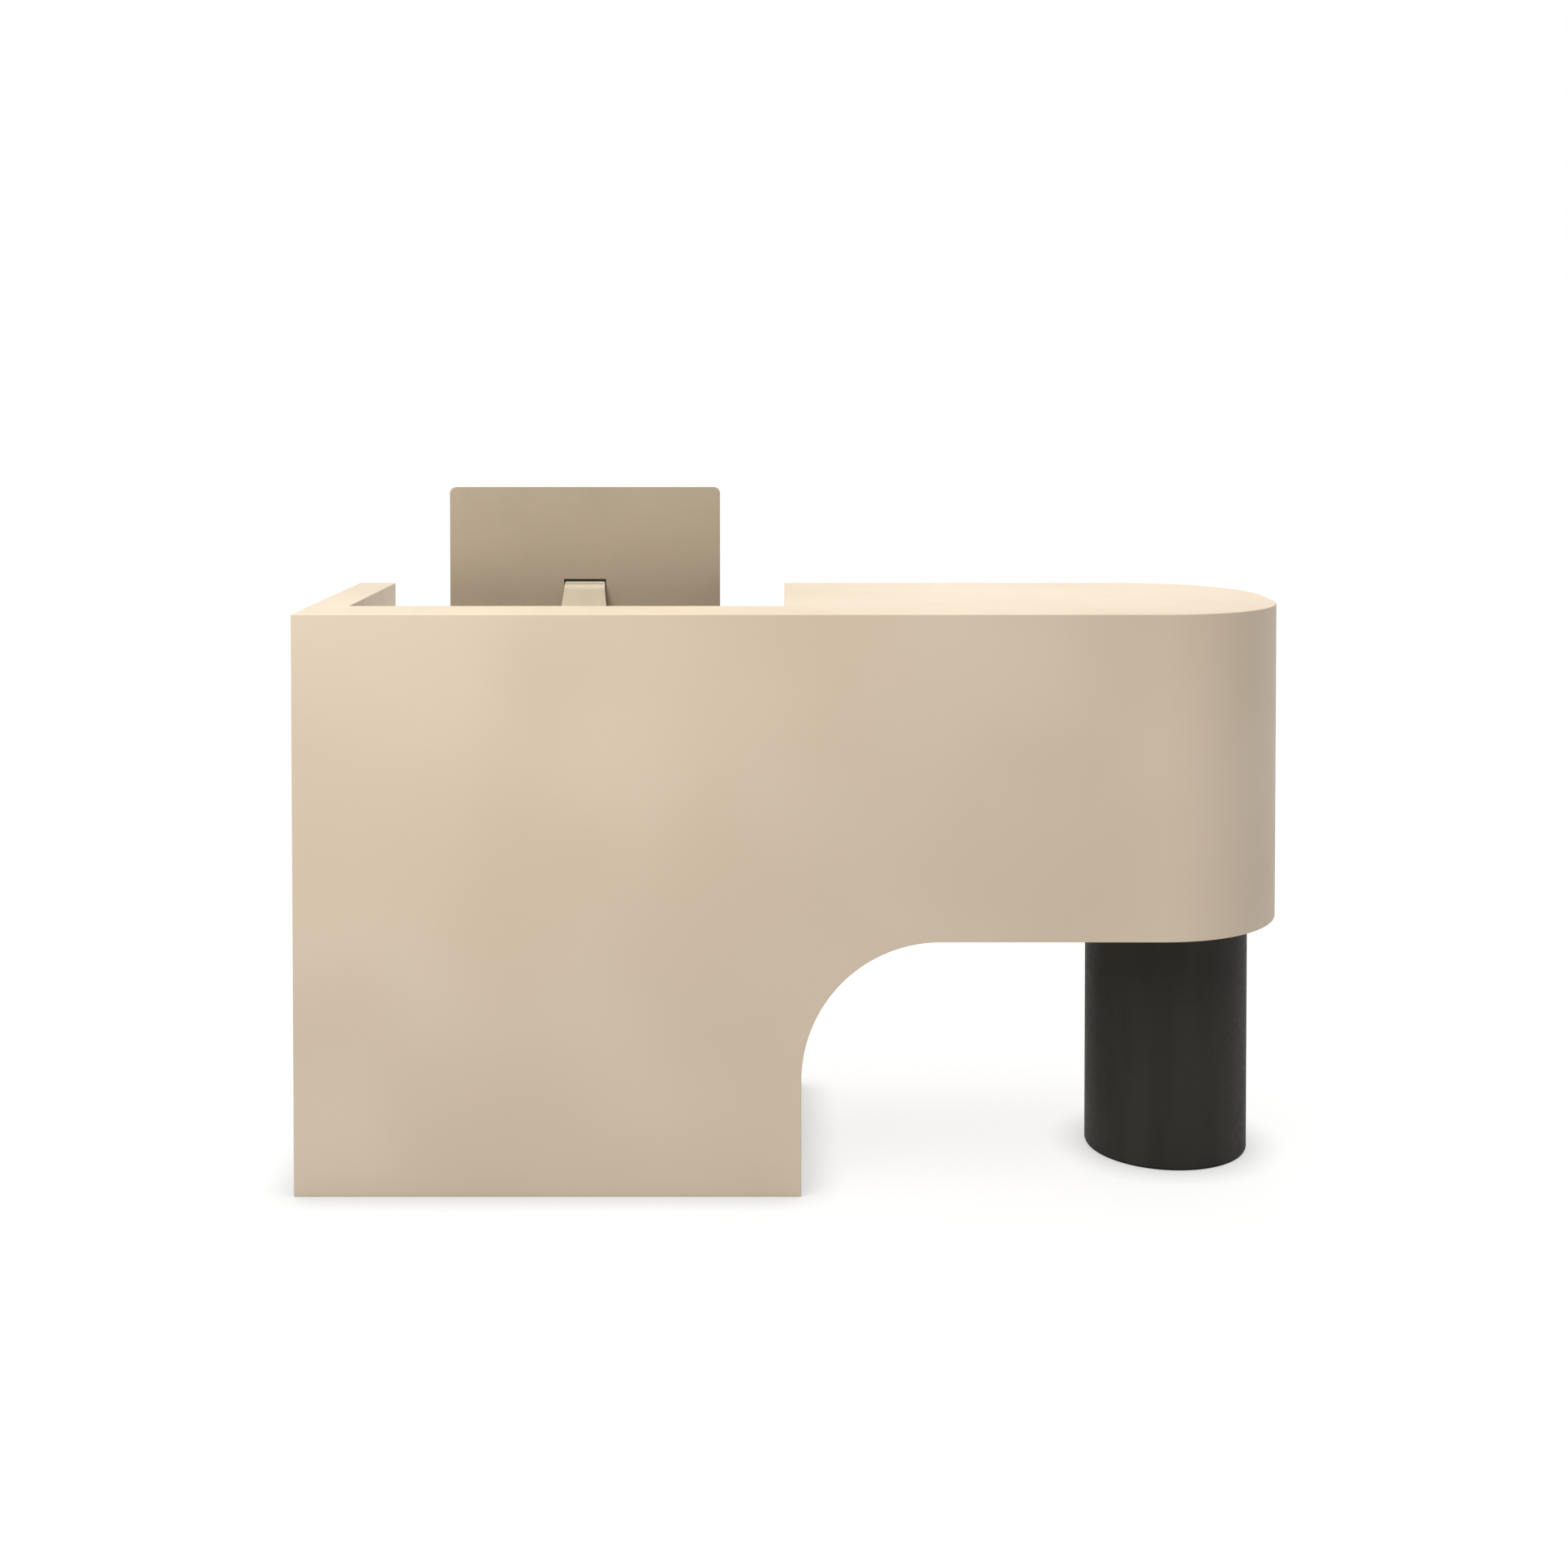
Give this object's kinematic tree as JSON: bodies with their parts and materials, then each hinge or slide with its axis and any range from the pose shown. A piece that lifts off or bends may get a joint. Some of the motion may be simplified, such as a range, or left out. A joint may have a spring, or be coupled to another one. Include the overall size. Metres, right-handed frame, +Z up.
{
  "type": "checkout counter",
  "caption": "Shop checkout counter: lacquered shell on a pedestal and a round column, with arch, front ledge, lower worktop, till screen, drawers, cupboard and shelves.",
  "frame": {"origin": "on the floor, at the middle of the counter's plan", "axes": "+X is the customer's right, along the counter's length; +Y points from the customer side to the staff side; +Z is up"},
  "size_m": [1.815, 0.6, 1.261],
  "materials": {
    "shell_lacquer": "satin lacquer on fibreboard, warm beige",
    "board_melamine": "melamine-faced chipboard, pale beige",
    "drawer_board": "foil-wrapped drawer board, linen beige",
    "column_paint": "satin charcoal powder coat on rolled steel",
    "zinc_steel": "zinc-plated steel",
    "lock_chrome": "nickel-plated lock cylinder",
    "black_metal": "matt black coated zinc",
    "black_rubber": "matt rubber",
    "dark_plastic": "fine-textured dark plastic",
    "screen_metal": "bead-blasted aluminium, champagne",
    "stand_metal": "bead-blasted aluminium",
    "screen_glass": "black-backed polished glass"
  },
  "bodies": {
    "counter": {"top_board": "shell_lacquer", "front_panel": "shell_lacquer", "end_wrap": "shell_lacquer", "rear_frame": "shell_lacquer", "arch_liner": "shell_lacquer", "soffit_panel": "shell_lacquer", "return_outer_panel": "shell_lacquer", "return_inner_panel": "shell_lacquer", "return_end_cap": "shell_lacquer", "divider_panel": "shell_lacquer", "worktop": "board_melamine", "pedestal_floor": "board_melamine", "plinth_rail": "shell_lacquer", "partition_panel": "board_melamine", "printer_shelf": "board_melamine", "cupboard_shelf": "board_melamine", "box_floor": "board_melamine", "box_partition": "board_melamine", "box_jamb": "board_melamine", "niche_shelf": "board_melamine", "column_tube": "column_paint", "column_foot_ring": "black_rubber", "column_base_plate": "zinc_steel", "column_top_flange": "zinc_steel", "cable_grommet": "dark_plastic", "top_drawer_rail_left": "zinc_steel", "top_drawer_rail_right": "zinc_steel", "lower_drawer_rail_left": "zinc_steel", "lower_drawer_rail_right": "zinc_steel", "cupboard_hinge_fixed_leaf": "zinc_steel", "box_hinge_fixed_leaf": "zinc_steel", "screen_stand": "stand_metal"},
    "top_drawer": {"top_drawer_front": "shell_lacquer", "top_drawer_left_side": "drawer_board", "top_drawer_right_side": "drawer_board", "top_drawer_back": "drawer_board", "top_drawer_bottom": "drawer_board", "top_drawer_pull": "black_metal", "top_drawer_runner_left": "zinc_steel", "top_drawer_runner_right": "zinc_steel"},
    "drawer_lock": {"drawer_lock": "lock_chrome"},
    "lower_drawer": {"lower_drawer_front": "shell_lacquer", "lower_drawer_left_side": "drawer_board", "lower_drawer_right_side": "drawer_board", "lower_drawer_back": "drawer_board", "lower_drawer_bottom": "drawer_board", "lower_drawer_pull": "black_metal", "lower_drawer_runner_left": "zinc_steel", "lower_drawer_runner_right": "zinc_steel"},
    "cupboard_door": {"cupboard_door": "shell_lacquer", "cupboard_hinge_moving_leaf": "zinc_steel", "cupboard_door_pull": "black_metal"},
    "box_door": {"box_door": "shell_lacquer", "box_hinge_moving_leaf": "zinc_steel", "box_door_pull": "black_metal"},
    "screen": {"screen_housing": "screen_metal", "screen_glass": "screen_glass", "screen_power_inlet": "dark_plastic"},
    "screen_button": {"screen_button": "screen_metal"},
    "grommet_cap": {"grommet_cap": "dark_plastic"}
  },
  "joints": [
    {"name": "top_drawer_slide", "type": "slide", "parent": "counter", "child": "top_drawer", "axis": [0, 1, 0], "range_m": [0, 0.32]},
    {"name": "lower_drawer_slide", "type": "slide", "parent": "counter", "child": "lower_drawer", "axis": [0, 1, 0], "range_m": [0, 0.32]},
    {"name": "drawer_lock_turn", "type": "hinge", "parent": "top_drawer", "child": "drawer_lock", "pos_m": [-0.485, 0.27, 0.74], "axis": [0, 1, 0], "range_deg": [0, 90]},
    {"name": "cupboard_door_swing", "type": "hinge", "parent": "counter", "child": "cupboard_door", "pos_m": [-0.0288, 0.2823, 0.4265], "axis": [0, 0, -1], "range_deg": [0, 110]},
    {"name": "box_door_swing", "type": "hinge", "parent": "counter", "child": "box_door", "pos_m": [0.6357, 0.2823, 0.7575], "axis": [0, 0, -1], "range_deg": [0, 110]},
    {"name": "screen_tilt", "type": "hinge", "parent": "counter", "child": "screen", "pos_m": [-0.415, 0.0525, 1.072], "axis": [1, 0, 0], "range_deg": [-5, 20]},
    {"name": "screen_button_press", "type": "slide", "parent": "screen", "child": "screen_button", "axis": [0, 1, 0], "range_m": [0, 0.001], "stiffness_N_per_m": 800},
    {"name": "grommet_cap_turn", "type": "hinge", "parent": "counter", "child": "grommet_cap", "pos_m": [-0.34, -0.225, 0.8], "axis": [0, 0, 1], "continuous": true}
  ]
}
